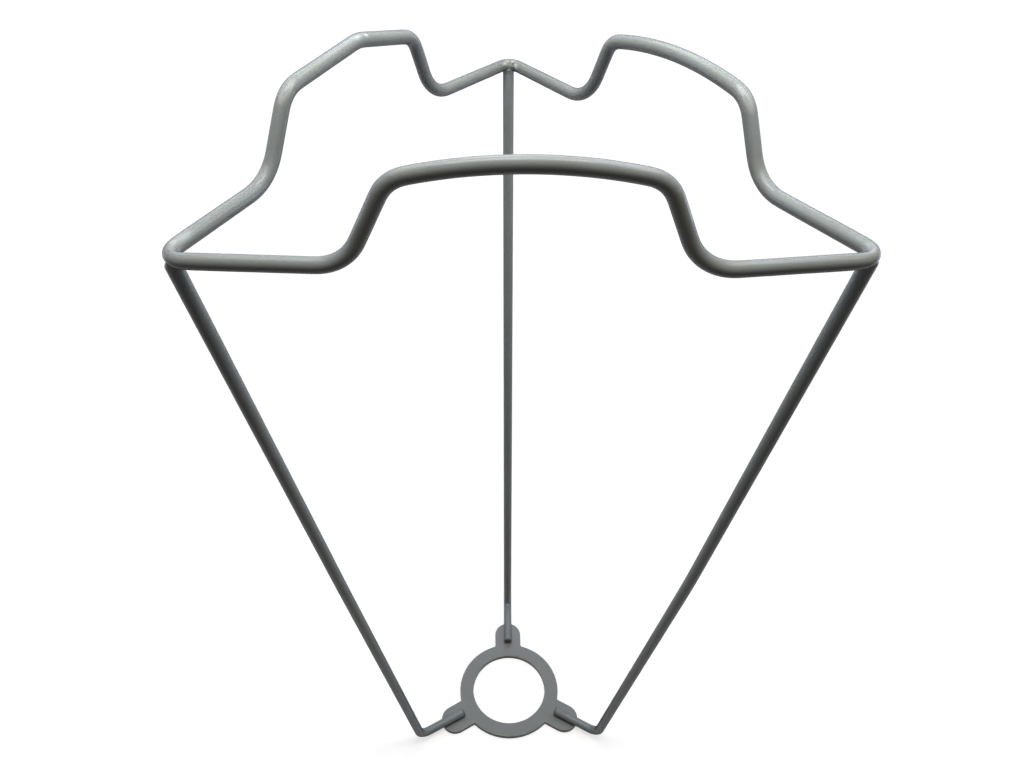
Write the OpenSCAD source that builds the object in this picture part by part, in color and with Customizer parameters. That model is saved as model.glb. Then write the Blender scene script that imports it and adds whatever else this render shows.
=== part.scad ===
// Lamp shade carrier: a welded and coated wire frame that stands on a lampholder by its
// fitter ring and holds a shade on the raised bridges of its three sided top wire.
// The origin is on the axis of the hole, at the underside of the fitter ring.
// Z points up, and the back leg stands over +Y.

/* [Fitter ring] */
// Hole that drops over the lampholder
hole_d = 29; // [27:0.5:31]
// Width of the flat band around the hole
band_w = 5.2; // [4:0.1:7]
// Thickness of the stamped sheet with its coating
sheet_t = 1.8; // [1.2:0.1:2.5]
// Bevel that the coating leaves on the sheet's edges
sheet_edge = 0.25; // [0.1:0.05:0.4]
// Width of each of the three lugs
lug_w = 10.6; // [8:0.2:13]
// Length of each lug, from the edge of the band to its round tip
lug_len = 10.3; // [8:0.1:14]

/* [Legs] */
// Diameter of the leg wire with its coating
leg_wire_d = 3.05; // [2.4:0.05:4]
// Distance from the edge of the band to the cut end of a foot
foot_gap = 1; // [0.5:0.1:3]
// Length of a foot, from its cut end to the corner of its bend
foot_len = 18.8; // [15:0.1:26]
// Bend radius between foot and leg, at the middle of the wire
leg_bend_r = 4.1; // [2:0.1:6]
// How far welding sank each foot into its lug
foot_sink = 0.15; // [0.05:0.05:0.3]
// How far welding sank the top wire into the end of each leg
leg_sink = 1; // [0.5:0.1:1.2]
// How far the right leg bows outward in its lower half
right_leg_bow = 0.8; // [0.4:0.1:3]
// Length of the right leg from its bend to the middle of its bow
bow_len = 90; // [40:1:100]

/* [Top wire] */
// Diameter of the top wire with its coating
top_wire_d = 3.05; // [2.4:0.05:4]
// Height of the middle of the low top wire above the underside of the ring
top_h = 222.9; // [120:0.1:300]
// Length of each side of the triangle, from corner to corner
side_len = 132.8; // [120:0.1:180]
// Bend radius at the three corners, at the middle of the wire
corner_bend_r = 3; // [2:0.1:6]
// Lift of the back corner above the height of the low wire
back_corner_lift = -0.4; // [-2:0.1:2]
// Lift of the left corner
left_corner_lift = 0.4; // [-2:0.1:2]
// Lift of the right corner
right_corner_lift = 0; // [-2:0.1:2]
// How far outside the middle of a corner bend its leg is set
leg_top_out = 0.4; // [0:0.1:0.6]

/* [Bridges] */
// Rise from a low bend to the end of a crest
bridge_rise = 16.6; // [12:0.1:24]
// Length along the side that a slope takes to rise
slope_run = 8.2; // [7:0.1:12]
// How far the middle of a crest bows out of the triangle
crest_bow = 0.8; // [0:0.1:2]
// Bend radius from a low arm into its slope
low_bend_r = 10.5; // [6:0.5:13]
// Bend radius from a slope into its crest
crest_bend_r = 6.5; // [3:0.5:7]
// Share of the front and right crests that an even arch takes up
arch_share = 0.8; // [0.3:0.05:0.8]
// Bend radius of the left crest at its butt weld
join_bend_r = 4; // [3:0.5:10]

/* [Front bridge] */
// Low arm beside the left corner
front_arm_left = 34.7; // [28:0.1:42]
// Low arm beside the right corner
front_arm_right = 33.9; // [28:0.1:42]
// Lift of the low bend on the left
front_lift_left = -0.8; // [-3:0.1:3]
// Lift of the low bend on the right
front_lift_right = -2; // [-3:0.1:3]
// Rise of the front crest above its ends, where its tangents meet
front_peak = 5.4; // [2:0.1:8]

/* [Left bridge] */
// Low arm beside the back corner
left_arm_back = 39.5; // [28:0.1:42]
// Low arm beside the left corner
left_arm_front = 31.4; // [28:0.1:42]
// Lift of the low bend at the back
left_lift_back = 1.5; // [-3:0.1:3]
// Lift of the low bend at the front
left_lift_front = 2.5; // [-3:0.1:3]
// Rise of the left crest above its ends, at its butt weld
left_peak = 3.4; // [1:0.1:6]
// How far the butt weld lies behind the middle of the crest
join_shift = 1.9; // [-5:0.1:5]

/* [Right bridge] */
// Low arm beside the right corner
right_arm_front = 32.5; // [28:0.1:42]
// Low arm beside the back corner
right_arm_back = 39.4; // [28:0.1:42]
// Lift of the low bend at the front
right_lift_front = 0.4; // [-3:0.1:3]
// Lift of the low bend at the back
right_lift_back = 0.1; // [-3:0.1:3]
// Rise of the right crest above its ends, where its tangents meet
right_peak = 4.6; // [2:0.1:8]

/* [Welds] */
// Width that a weld bead shows on the lug beside its foot
lug_bead_w = 0.4; // [0.2:0.05:0.8]
// Distance that a bead stops short of the tip of its lug
lug_bead_back = 1.2; // [0.8:0.1:3]
// How far a corner bead stands out around the top of its leg
corner_bead_w = 0.4; // [0.3:0.05:0.8]
// How far a corner bead lies to the inside of its leg
corner_bead_in = 0.25; // [0:0.05:0.25]

/* [Hidden] */
$fn = 24;

// Angles around the hole at which the legs and the corners stand
angle_back = 90;
angle_left = 210;
angle_right = 330;

// Number of sides of the top wire
sides = 3;

// Radius of the gentle bow in a leg, and how far a straight wire runs on into a bend,
// which the coating makes thicker by bend_swell
bow_r = 250;
lap = 0.1;
bend_swell = 0.01;

band_r = hole_d / 2 + band_w;
lug_tip = band_r + lug_len;
leg_r = leg_wire_d / 2;
top_r = top_wire_d / 2;
foot_start = band_r + foot_gap;
foot_h = sheet_t + leg_r - foot_sink;
corner_r = side_len / (2 * sin(180 / sides));
leg_top = corner_r - corner_bend_r + leg_top_out;

// Unit vector along v
function unit(v) = v / norm(v);

// Some vector at right angles to v
function across(v) = cross(v, abs(v.z) < norm(v) / 2 ? [0, 0, 1] : [1, 0, 0]);

// Angle at b between the ways to a and to c
function corner_angle(a, b, c) = acos(unit(a - b) * unit(c - b));

// Length that a bend of radius r at b takes from the straight on each side
function bend_reach(a, b, c, r) = r / tan(corner_angle(a, b, c) / 2);

// Puts its children in the frame with origin at, X along x and Z along z
module place(at, x, z) {
    ux = unit(x);
    uz = unit(z);
    uy = cross(uz, ux);
    multmatrix([
        [ux.x, uy.x, uz.x, at.x],
        [ux.y, uy.y, uz.y, at.y],
        [ux.z, uy.z, uz.z, at.z],
        [0, 0, 0, 1]
    ]) children();
}

// Straight wire of diameter d from a to b
module straight(a, b, d) {
    place(a, across(b - a), b - a) cylinder(d = d, h = norm(b - a));
}

// Wire of diameter d bent to radius r around the corner b, on the way from a to c
module bend(a, b, c, r, d) {
    reach = bend_reach(a, b, c, r);
    start = b + unit(a - b) * reach;
    end = b + unit(c - b) * reach;
    centre = b + unit(unit(a - b) + unit(c - b)) * norm([r, reach]);
    place(centre, start - centre, cross(start - centre, end - centre))
        rotate_extrude(angle = 180 - corner_angle(a, b, c))
            translate([r, 0]) circle(d = d + bend_swell);
}

// Wire of diameter d through points, bent at each to its radius in radii. A radius of 0
// is a cut end. Without chosen, all of it is made, and otherwise the numbered stretches,
// each of them a bend and the straight that leaves it.
module wire(points, radii, d, chosen) {
    n = len(points);
    reach = [for (i = [0 : n - 1]) radii[i] == 0 ? 0
        : bend_reach(points[(i + n - 1) % n], points[i], points[(i + 1) % n], radii[i])];
    trim = [for (length = reach) max(0, length - lap)];
    for (i = is_undef(chosen) ? [0 : n - 1] : chosen) {
        here = points[i];
        next = points[(i + 1) % n];
        way = unit(next - here);
        if (radii[i] > 0) bend(points[(i + n - 1) % n], here, next, radii[i], d);
        if (radii[i] > 0 || i < n - 1)
            straight(here + way * trim[i], next - way * trim[(i + 1) % n], d);
    }
}

// Corner of the top wire's triangle at the angle turn, lifted from the low wire's height
function corner(turn, lift = 0) = [corner_r * cos(turn), corner_r * sin(turn), lift];

// The five corners of the bridge on the side that runs from corner a to corner b
function bridge(a, b, arms, lifts, peak, shift) =
    let (
        way = unit(b - a),
        out = unit(a + b),
        up = [0, 0, 1],
        start = a + way * (arms[0] + slope_run) + up * (lifts[0] + bridge_rise),
        end = b - way * (arms[1] + slope_run) + up * (lifts[1] + bridge_rise)
    ) [
        a + way * arms[0] + up * lifts[0],
        start,
        (start + end) / 2 + out * crest_bow + up * peak + way * shift,
        end,
        b - way * arms[1] + up * lifts[1]
    ];

// Bend radii of a bridge whose crest is bent to radius mid_r
function bridge_radii(mid_r) = [low_bend_r, crest_bend_r, mid_r, crest_bend_r, low_bend_r];

// Radius of the even arch along the crest of the bridge with the given corners
function arch_r(corners) = arch_share * norm(corners[2] - corners[1])
    * tan(corner_angle(corners[1], corners[2], corners[3]) / 2);

// Corners of the three bridges, left round from the back corner
left_bridge = bridge(corner(angle_back), corner(angle_left),
    [left_arm_back, left_arm_front], [left_lift_back, left_lift_front],
    left_peak, -join_shift);
front_bridge = bridge(corner(angle_left), corner(angle_right),
    [front_arm_left, front_arm_right], [front_lift_left, front_lift_right],
    front_peak, 0);
right_bridge = bridge(corner(angle_right), corner(angle_back),
    [right_arm_front, right_arm_back], [right_lift_front, right_lift_back],
    right_peak, 0);

// Top wire's points, with z from the low wire's middle
top_points = concat(
    [corner(angle_back, back_corner_lift)], left_bridge,
    [corner(angle_left, left_corner_lift)], front_bridge,
    [corner(angle_right, right_corner_lift)], right_bridge
);
top_radii = concat(
    [corner_bend_r], bridge_radii(join_bend_r),
    [corner_bend_r], bridge_radii(arch_r(front_bridge)),
    [corner_bend_r], bridge_radii(arch_r(right_bridge))
);
side_points = len(top_points) / sides;

// Section of the sheet, from a square end to a bevelled edge w away
module half_sheet(w) {
    polygon([
        [0, 0], [w - sheet_edge, 0], [w, sheet_edge],
        [w, sheet_t - sheet_edge], [w - sheet_edge, sheet_t], [0, sheet_t]
    ]);
}

// Lug with its round tip, along +X
module lug() {
    tip_middle = lug_tip - lug_w / 2;
    root = band_r - band_w / 2;
    for (side = [0, 1]) mirror([0, side, 0])
        translate([root, 0, 0]) rotate([90, 0, 90])
            linear_extrude(tip_middle - root) half_sheet(lug_w / 2);
    translate([tip_middle, 0, 0]) rotate(-90)
        rotate_extrude(angle = 180) half_sheet(lug_w / 2);
}

module fitter_ring() {
    color("gray") {
        rotate_extrude() translate([hole_d / 2, 0]) half_sheet(band_w);
        for (turn = [angle_back, angle_left, angle_right]) rotate(turn) lug();
    }
}

// Stretches of the top wire around the corner with the given number
module top_corner(number) {
    n = len(top_points);
    middle = number * side_points;
    translate([0, 0, top_h])
        wire(top_points, top_radii, top_wire_d, [(middle + n - 1) % n, middle]);
}

// Points of a leg along +X: cut foot, bend, any bow, and the end under the top wire's
// corner, which is lifted by lift
function leg_points(lift, bow) =
    let (
        start = [foot_start, 0, foot_h],
        heel = [foot_start + foot_len, 0, foot_h],
        top = [leg_top, 0, top_h + lift],
        rise = unit(top - heel),
        end = top - rise * (top_r - leg_sink)
    ) bow == 0 ? [start, heel, end]
        : [start, heel, heel + rise * bow_len + cross([0, 1, 0], rise) * bow, end];

function leg_radii(bow) = bow == 0 ? [0, leg_bend_r, 0] : [0, leg_bend_r, bow_r, 0];

// Leg at the angle turn: its foot is flat where it lies on the lug, and its end is
// hollowed to seat under the top wire's lifted corner of the given number
module leg(turn, number, lift, bow = 0) {
    color("silver") difference() {
        rotate(turn) wire(leg_points(lift, bow), leg_radii(bow), leg_wire_d);
        rotate(turn) translate([0, -leg_wire_d, 0]) cube([lug_tip, 2 * leg_wire_d, sheet_t]);
        top_corner(number);
    }
}

module leg_back() {
    leg(angle_back, 0, back_corner_lift);
}

module leg_left() {
    leg(angle_left, 1, left_corner_lift);
}

module leg_right() {
    leg(angle_right, 2, right_corner_lift, right_leg_bow);
}

module top_wire() {
    color("gainsboro") translate([0, 0, top_h]) wire(top_points, top_radii, top_wire_d);
}

// Two fillets of weld along a foot on +X, between its wire and the lug
module lug_weld() {
    reach = leg_r + lug_bead_w;
    for (side = [0, 1]) mirror([0, side, 0])
        translate([foot_start, 0, sheet_t]) rotate([90, 0, 90])
            linear_extrude(lug_len - foot_gap - lug_bead_back) difference() {
                polygon([[0, 0], [reach, 0], [0, reach]]);
                translate([0, leg_r - foot_sink]) circle(leg_r);
            }
}

module lug_welds() {
    color("dimgray") for (turn = [angle_back, angle_left, angle_right]) rotate(turn) lug_weld();
}

// Collar of weld around the top of a leg, under the lifted corner of the given number
module corner_weld(turn, number, lift, bow = 0) {
    points = leg_points(lift, bow);
    color("darkgray") difference() {
        rotate(turn) translate([leg_top - corner_bead_in, 0, top_h + lift - top_r])
            sphere(leg_r + corner_bead_w);
        rotate(turn) wire(points, leg_radii(bow), leg_wire_d, [len(points) - 2]);
        top_corner(number);
    }
}

module corner_weld_back() {
    corner_weld(angle_back, 0, back_corner_lift);
}

module corner_weld_left() {
    corner_weld(angle_left, 1, left_corner_lift);
}

module corner_weld_right() {
    corner_weld(angle_right, 2, right_corner_lift, right_leg_bow);
}

fitter_ring();
leg_back();
leg_left();
leg_right();
top_wire();
lug_welds();
corner_weld_back();
corner_weld_left();
corner_weld_right();
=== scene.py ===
"""Lamp shade carrier: a welded and powder coated wire frame, dressed for its photograph.

Every surface is worked out with numpy in millimetres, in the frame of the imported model:
the origin is on the axis of the lampholder's hole at the underside of the fitter ring,
Z points up and the back leg stands over +Y. Meshes are turned to metres as they are made.
"""
import logging
import math
from dataclasses import dataclass, field
from enum import Enum

import bpy
import numpy as np
from mathutils import Matrix


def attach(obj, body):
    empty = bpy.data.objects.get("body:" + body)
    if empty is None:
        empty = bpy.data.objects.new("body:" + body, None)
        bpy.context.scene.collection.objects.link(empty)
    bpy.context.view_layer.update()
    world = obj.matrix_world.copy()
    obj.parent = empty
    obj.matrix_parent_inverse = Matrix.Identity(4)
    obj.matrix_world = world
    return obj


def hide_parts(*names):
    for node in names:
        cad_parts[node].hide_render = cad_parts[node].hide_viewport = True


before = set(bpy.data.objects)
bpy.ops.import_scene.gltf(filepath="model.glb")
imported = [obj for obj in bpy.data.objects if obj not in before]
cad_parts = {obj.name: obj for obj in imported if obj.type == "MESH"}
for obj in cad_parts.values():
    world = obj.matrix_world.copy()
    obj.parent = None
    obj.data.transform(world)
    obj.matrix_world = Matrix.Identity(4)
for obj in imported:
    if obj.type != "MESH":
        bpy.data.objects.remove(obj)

LOG = logging.getLogger("shade_carrier")
BODY = "root"
MM = 0.001
UP = np.array([0.0, 0.0, 1.0])
AHEAD = np.array([0.0, 1.0, 0.0])
FULL_TURN = 2 * math.pi
CORNER_STEP = 120.0
BEND_POINTS = 97
MOST_TWISTS = 3
SPREADS_KEPT = 3
SAME_PLACE = 1e-6
TINY = 1e-12
NEARLY_UPRIGHT = 0.999
WHITE = "#ffffff"

Array = np.ndarray
Pair = tuple[float, float]
Triple = tuple[float, float, float]
Material = bpy.types.Material
Tree = bpy.types.NodeTree
Socket = bpy.types.NodeSocket


class Corner(Enum):
    """The three corners of the top wire, each with its angle around the hole."""

    BACK = 90.0
    LEFT = 210.0
    RIGHT = 330.0

    @property
    def out(self) -> Array:
        """Unit vector from the hole's axis towards the corner."""
        turn = math.radians(self.value)
        return np.array([math.cos(turn), math.sin(turn), 0.0])

    @property
    def side(self) -> Array:
        """Unit vector along the ring at the corner, a quarter turn on from out."""
        return np.cross(UP, self.out)


class Slot(Enum):
    """Names of the material slots."""

    RING = "ring_coating"
    WIRE = "wire_coating"
    WELD = "weld_coating"


# Vectors and lines


def unit(vectors: Array) -> Array:
    """Vectors scaled to length one."""
    length = np.linalg.norm(vectors, axis=-1, keepdims=True)
    return vectors / np.maximum(length, TINY)


def lengths_along(line: Array) -> Array:
    """Distance of each point of a line from its start, measured along it."""
    steps = np.linalg.norm(np.diff(line, axis=0), axis=1)
    return np.concatenate([[0.0], np.cumsum(steps)])


def at_lengths(line: Array, lengths: Array, along: Array | None = None) -> Array:
    """Points of a line at given lengths, where along is how far each of its own points is."""
    along = lengths_along(line) if along is None else along
    return np.stack([np.interp(lengths, along, line[:, axis]) for axis in range(3)], axis=1)


def arc(centre: Array, radius: float, start: float, end: float, count: int) -> Array:
    """Points of a flat arc.

    Args:
        centre: Its centre.
        radius: Its radius.
        start: Angle of its first point in degrees.
        end: Angle of its last point.
        count: Number of points.

    Returns:
        The points, count x 3.
    """
    turn = np.radians(np.linspace(start, end, count))
    ring = np.stack([np.cos(turn), np.sin(turn), np.zeros_like(turn)], axis=1)
    return centre + radius * ring


def bent_line(corners: Array, radii: Array, closed: bool) -> Array:
    """Centre line of a wire bent at its corners.

    Each corner becomes an arc that touches both of its straights. With h as half the angle
    between the straights, the arc's centre is radius / sin(h) from the corner on the line
    that halves the angle, and its points are centre - radius x cos(p) x halving line +
    radius x sin(p) x direction of travel, for p from minus to plus a quarter turn less h.

    Args:
        corners: The corners, n x 3. A corner of radius 0 is an end.
        radii: Bend radius at each corner.
        closed: Whether the line returns to its first corner.

    Returns:
        Points along the line, close together in the bends.
    """
    to_last = unit(np.roll(corners, 1, axis=0) - corners)
    to_next = unit(np.roll(corners, -1, axis=0) - corners)
    half = np.arccos(np.clip(np.sum(to_last * to_next, axis=1), -1.0, 1.0)) / 2
    halving = unit(to_last + to_next)
    travel = unit(to_next - to_last)
    centres = corners + halving * (radii / np.sin(half))[:, None]
    swing = np.linspace(-1.0, 1.0, BEND_POINTS)[None, :] * (math.pi / 2 - half)[:, None]
    reach = radii[:, None, None]
    line = (centres[:, None] - halving[:, None] * np.cos(swing)[..., None] * reach
            + travel[:, None] * np.sin(swing)[..., None] * reach).reshape(-1, 3)
    if closed:
        line = np.concatenate([line, line[:1]])
    steps = np.linalg.norm(np.diff(line, axis=0), axis=1)
    return line[np.concatenate([[True], steps > SAME_PLACE])]


def softened(line: Array, closed: bool, spread: float) -> Array:
    """Line with its bends eased, as a weighted mean of each point and its neighbours.

    Args:
        line: Evenly spaced points.
        closed: Whether the line returns to its start, which is then not repeated.
        spread: Standard deviation of the weights, in points.

    Returns:
        As many points. The ends of an open line stay where they are.
    """
    half = int(SPREADS_KEPT * spread) + 1
    weights = np.exp(-0.5 * (np.arange(-half, half + 1) / spread) ** 2)
    weights /= weights.sum()
    padded = np.pad(line, ((half, half), (0, 0)), mode="wrap" if closed else "reflect",
                    **({} if closed else {"reflect_type": "odd"}))
    columns = [np.convolve(padded[:, axis], weights, mode="valid") for axis in range(3)]
    return np.stack(columns, axis=1)


def waves(along: Array, around: Array, whole: float, seed: int,
          fewest: int, limit: int, count: int = 14) -> Array:
    """Gentle unevenness of a coating, around 0 and seldom beyond 1.5 either way.

    The sum of travelling waves. Each makes a whole number of turns over the length whole
    and a whole number around the wire, so the pattern closes on itself.

    Args:
        along: Distances along the wire, n.
        around: Angles around it in radians, k.
        whole: Length after which the pattern repeats.
        seed: Picks the waves.
        fewest: Fewest turns in the length.
        limit: One more than the most turns in the length.
        count: Number of waves that are added up.

    Returns:
        n x k values.
    """
    rng = np.random.default_rng(seed)
    turns = rng.integers(fewest, limit, count)
    twists = rng.integers(-MOST_TWISTS, MOST_TWISTS + 1, count)
    phases = rng.uniform(0.0, FULL_TURN, count)
    angle = (FULL_TURN * turns * along[:, None, None] / whole
             + twists * around[None, :, None] + phases)
    return np.sin(angle).sum(axis=2) / math.sqrt(count)


def rings(centre: Array, radius: Array, side: Array, top: Array, angle: Array) -> Array:
    """Rings around a line. A point is centre + radius x (cos(a) x side + sin(a) x top).

    Args:
        centre: Middle of each ring, n x 3.
        radius: Radius at each point, n x k.
        side: Unit vector towards angle 0, n x 3.
        top: Unit vector a quarter turn on, n x 3.
        angle: The angles a in radians, k.

    Returns:
        The rings, n x k x 3.
    """
    around = (np.cos(angle)[None, :, None] * side[:, None]
              + np.sin(angle)[None, :, None] * top[:, None])
    return centre[:, None] + radius[..., None] * around


# Meshes


@dataclass
class Surface:
    """Points and faces of one closed shell, in millimetres.

    Its grime and painted light is 1 at a bare or dirty point or one painted dark as shade,
    0 on clean coating and -1 where a highlight is painted pale.
    """

    points: Array
    faces: list[Array]
    grime_and_painted_light: Array


def shell(rows: Array, looped: bool, grime_and_painted_light: Array | None = None) -> Surface:
    """Closed surface over a grid of rings.

    Point (i, j) joins (i, j + 1), (i + 1, j + 1) and (i + 1, j). Rings close on
    themselves, and the grid's two ends either meet or are capped by a fan of triangles
    around the middle of the last ring.

    Args:
        rows: The rings, n x k x 3, turning so that the faces point outwards.
        looped: Whether the last ring joins the first.
        grime_and_painted_light: Grime, painted shade and painted highlights at each point of the grid,
            n x k, or none for clean coating.

    Returns:
        The surface.
    """
    count, k = rows.shape[:2]
    first = np.arange(count if looped else count - 1)[:, None]
    j = np.arange(k)[None, :]
    here, there = first * k, (first + 1) % count * k
    quads = np.stack([here + j, here + (j + 1) % k, there + (j + 1) % k, there + j], axis=-1)
    faces = [quads.reshape(-1, 4)]
    points = rows.reshape(-1, 3)
    flat_grime_and_painted_light = np.zeros(count * k) if grime_and_painted_light is None else grime_and_painted_light.reshape(-1)
    if not looped:
        start, end = len(points), len(points) + 1
        points = np.concatenate([points, [rows[0].mean(axis=0)], [rows[-1].mean(axis=0)]])
        flat_grime_and_painted_light = np.concatenate([flat_grime_and_painted_light, [flat_grime_and_painted_light[:k].mean()], [flat_grime_and_painted_light[-k:].mean()]])
        ring, after, last = j[0], (j[0] + 1) % k, (count - 1) * k
        faces.append(np.stack([after, ring, np.full(k, start)], axis=1))
        faces.append(np.stack([last + ring, last + after, np.full(k, end)], axis=1))
    return Surface(points, faces, flat_grime_and_painted_light)


def joined(parts: list[Surface]) -> Surface:
    """Several surfaces as one.

    Args:
        parts: The surfaces.

    Returns:
        One surface with all their points and faces.
    """
    offsets = np.cumsum([0] + [len(part.points) for part in parts[:-1]])
    faces = [block + offset for part, offset in zip(parts, offsets) for block in part.faces]
    return Surface(np.concatenate([part.points for part in parts]), faces,
                   np.concatenate([part.grime_and_painted_light for part in parts]))


def make_piece(name: str, surface: Surface, material: Material, slot: Slot, *nodes: str) -> None:
    """Makes the object for a surface, at the origin, riding on the frame.

    Args:
        name: Name of the piece.
        surface: Its surface in millimetres.
        material: Its finish.
        slot: Not used.
        nodes: The CAD nodes that it stands for.
    """
    mesh = bpy.data.meshes.new(name)
    faces = [face for block in surface.faces for face in block.tolist()]
    mesh.from_pydata((surface.points * MM).tolist(), [], faces)
    mesh.polygons.foreach_set("use_smooth", np.ones(len(mesh.polygons), dtype=bool))
    # Per point: grime or painted shade where positive, a painted pale highlight where negative.
    grime_and_painted_light = mesh.attributes.new("grime_and_painted_light", "FLOAT", "POINT")
    grime_and_painted_light.data.foreach_set("value", surface.grime_and_painted_light.astype(np.float32))
    mesh.update()
    mesh.materials.append(material)
    piece = bpy.data.objects.new(name, mesh)
    bpy.context.scene.collection.objects.link(piece)
    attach(piece, BODY)
    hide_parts(*nodes)
    LOG.info("%s: %d points, %d faces", name, len(mesh.vertices), len(mesh.polygons))


def placed(name: str, data: bpy.types.ID, axes: list[Array], place: Array) -> bpy.types.Object:
    """Puts a lamp or a camera into the scene.

    Args:
        name: Name of the object.
        data: What it shows.
        axes: Its X, Y and Z axes as unit vectors.
        place: Its place in metres.

    Returns:
        The object.
    """
    matrix = np.eye(4)
    matrix[:3, :3], matrix[:3, 3] = np.stack(axes, axis=1), place
    thing = bpy.data.objects.new(name, data)
    thing.matrix_world = Matrix(matrix.tolist())
    bpy.context.scene.collection.objects.link(thing)
    return thing


# Wire


@dataclass(frozen=True)
class Spot:
    """A bump, pit or flattened patch that welding or bending left on a wire.

    Along is its distance along the wire and around its angle in degrees, with 0 on the
    outer side, 90 on top and 180 on the inner side of the top wire. Crisp is 1 for a soft
    bell, and more for a flat patch with a definite edge.
    """

    along: float
    around: float
    length: float
    width: float
    height: float
    # Positive darkens as grime or painted shade; negative paints a pale highlight.
    grime_and_painted_light: float = 0.0
    crisp: float = 1.0

    def distance(self, along: Array, whole: float) -> Array:
        """Distance along the wire from the spot, taken the shorter way round a loop."""
        return (along - self.along + whole / 2) % whole - whole / 2

    def share(self, along: Array, around: Array, radius: float, whole: float) -> Array:
        """Share of the spot's height at each point of a wire's grid.

        A bell curve of the distance from the spot's middle, measured in its length along
        the wire and its width around it, with its square raised to crisp.

        Args:
            along: Distances along the wire, n.
            around: Angles around it in radians, k.
            radius: Radius of the wire.
            whole: Length after which the wire repeats.

        Returns:
            n x k values from 0 to 1.
        """
        turn = np.angle(np.exp(1j * (around - math.radians(self.around))))
        far = ((self.distance(along, whole) / self.length)[:, None] ** 2
               + (turn * radius / self.width)[None, :] ** 2)
        return np.exp(-far ** self.crisp)


@dataclass
class Wire:
    """A stretch of coated round wire along a line."""

    diameter: float
    line: Array
    closed: bool
    side: Array | None = None
    spots: tuple[Spot, ...] = ()
    seed: int = 1
    step: float = 0.55
    fine_step: float = 0.14
    fine_reach: float = 3.5
    segments: int = 48
    fewest_waves: int = 2
    shortest_wave: float = 7.0
    ripple: float = 0.006
    swell: float = 0.015
    ease: float = 0.35
    open_repeat: float = 10.0

    @property
    def radius(self) -> float:
        """Half the diameter."""
        return self.diameter / 2

    @property
    def length(self) -> float:
        """Length of the whole line."""
        return float(lengths_along(self.line)[-1])

    @property
    def whole(self) -> float:
        """Length after which a closed wire repeats, or one that an open wire never has."""
        return self.length * (1.0 if self.closed else self.open_repeat)

    def stations(self) -> Array:
        """Distances along the wire at which it gets a ring, closer together at its spots.

        The ring count grows as the integral of the wanted density, which is turned round
        by interpolation.

        Returns:
            The distances, in order.
        """
        fine = np.linspace(0.0, self.length, int(self.length / self.fine_step) + 1)
        density = np.full_like(fine, 1 / self.step)
        for spot in self.spots:
            near = np.abs(spot.distance(fine, self.whole)) < self.fine_reach
            density[near] = 1 / self.fine_step
        total = np.concatenate([[0.0], np.cumsum((density[1:] + density[:-1]) / 2 * np.diff(fine))])
        count = int(total[-1])
        wanted = np.linspace(0.0, total[-1], count, endpoint=not self.closed)
        return np.interp(wanted, total, fine)

    def centre(self, stations: Array) -> Array:
        """The eased centre line.

        Args:
            stations: Distances along the wire, n.

        Returns:
            Its points there, n x 3.
        """
        count = int(self.length / self.fine_step)
        even = np.linspace(0.0, self.length, count, endpoint=not self.closed)
        points = softened(at_lengths(self.line, even), self.closed, self.ease / self.fine_step)
        if self.closed:
            points = np.concatenate([points, points[:1]])
            even = np.concatenate([even, [self.length]])
        return at_lengths(points, stations, even)

    def directions(self, stations: Array) -> tuple[Array, Array, Array]:
        """The ways that the wire faces.

        Args:
            stations: Distances along the wire, n.

        Returns:
            Unit vectors along it, to its side and to its top, each n x 3.
        """
        reach = self.fine_step
        ahead, behind = stations + reach, stations - reach
        if self.closed:
            ahead, behind = ahead % self.length, behind % self.length
        else:
            ahead, behind = np.minimum(ahead, self.length), np.maximum(behind, 0.0)
        along = unit(self.centre(ahead) - self.centre(behind))
        if self.side is None:
            side = unit(np.cross(along, UP))
        else:
            side = np.broadcast_to(self.side, along.shape)
        return along, side, np.cross(side, along)

    def bending(self, stations: Array) -> Array:
        """How sharply the wire bends.

        Args:
            stations: Distances along the wire, n.

        Returns:
            One over the bend radius there, n.
        """
        along, _, _ = self.directions(stations)
        gaps = np.gradient(stations)
        return np.linalg.norm(np.gradient(along, axis=0), axis=1) / np.maximum(gaps, TINY)

    def grid(self) -> tuple[Array, Array, Array, Array]:
        """Rings of the wire's surface.

        Their radius is the wire's, with the coating's ripple, a swelling across bends and
        the weld spots.

        Returns:
            The rings n x k x 3, the grime and painted light n x k, the directions along
            n x 3 and the centres n x 3.
        """
        stations = self.stations()
        centre = self.centre(stations)
        along, side, top = self.directions(stations)
        angle = np.linspace(0.0, FULL_TURN, self.segments, endpoint=False)
        most_waves = max(2 * self.fewest_waves, int(self.length / self.shortest_wave))
        radius = self.radius + self.ripple * waves(stations, angle, self.length, self.seed,
                                                   self.fewest_waves, most_waves)
        flat = np.clip(self.bending(stations) * self.diameter, 0.0, 1.0)[:, None]
        radius = radius * (1 + self.swell * flat * np.cos(2 * angle)[None, :] ** 2)
        grime_and_painted_light = np.zeros_like(radius)
        for spot in self.spots:
            share = spot.share(stations, angle, self.radius, self.whole)
            radius = radius + spot.height * share
            grime_and_painted_light = grime_and_painted_light * (1 - share * abs(spot.grime_and_painted_light)) + spot.grime_and_painted_light * share
        return rings(centre, radius, side, top, angle), grime_and_painted_light, along, centre

    def surface(self, start_round: float = 0.0, end_round: float = 0.0) -> Surface:
        """The wire as one closed shell.

        Args:
            start_round: Radius of the edge around the first end.
            end_round: Radius of the edge around the last end.

        Returns:
            The surface. An open wire's ends are flat with a rounded edge.
        """
        rows, grime_and_painted_light, along, centre = self.grid()
        if self.closed:
            return shell(rows, True, grime_and_painted_light)
        first = self.end(rows[0], centre[0], -along[0], start_round)[::-1]
        last = self.end(rows[-1], centre[-1], along[-1], end_round)
        rows = np.concatenate([first, rows, last])
        extra = (len(rows) - len(grime_and_painted_light)) // 2
        grime_and_painted_light = np.pad(grime_and_painted_light, ((extra, extra), (0, 0)), mode="edge")
        return shell(rows, False, grime_and_painted_light)

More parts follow.
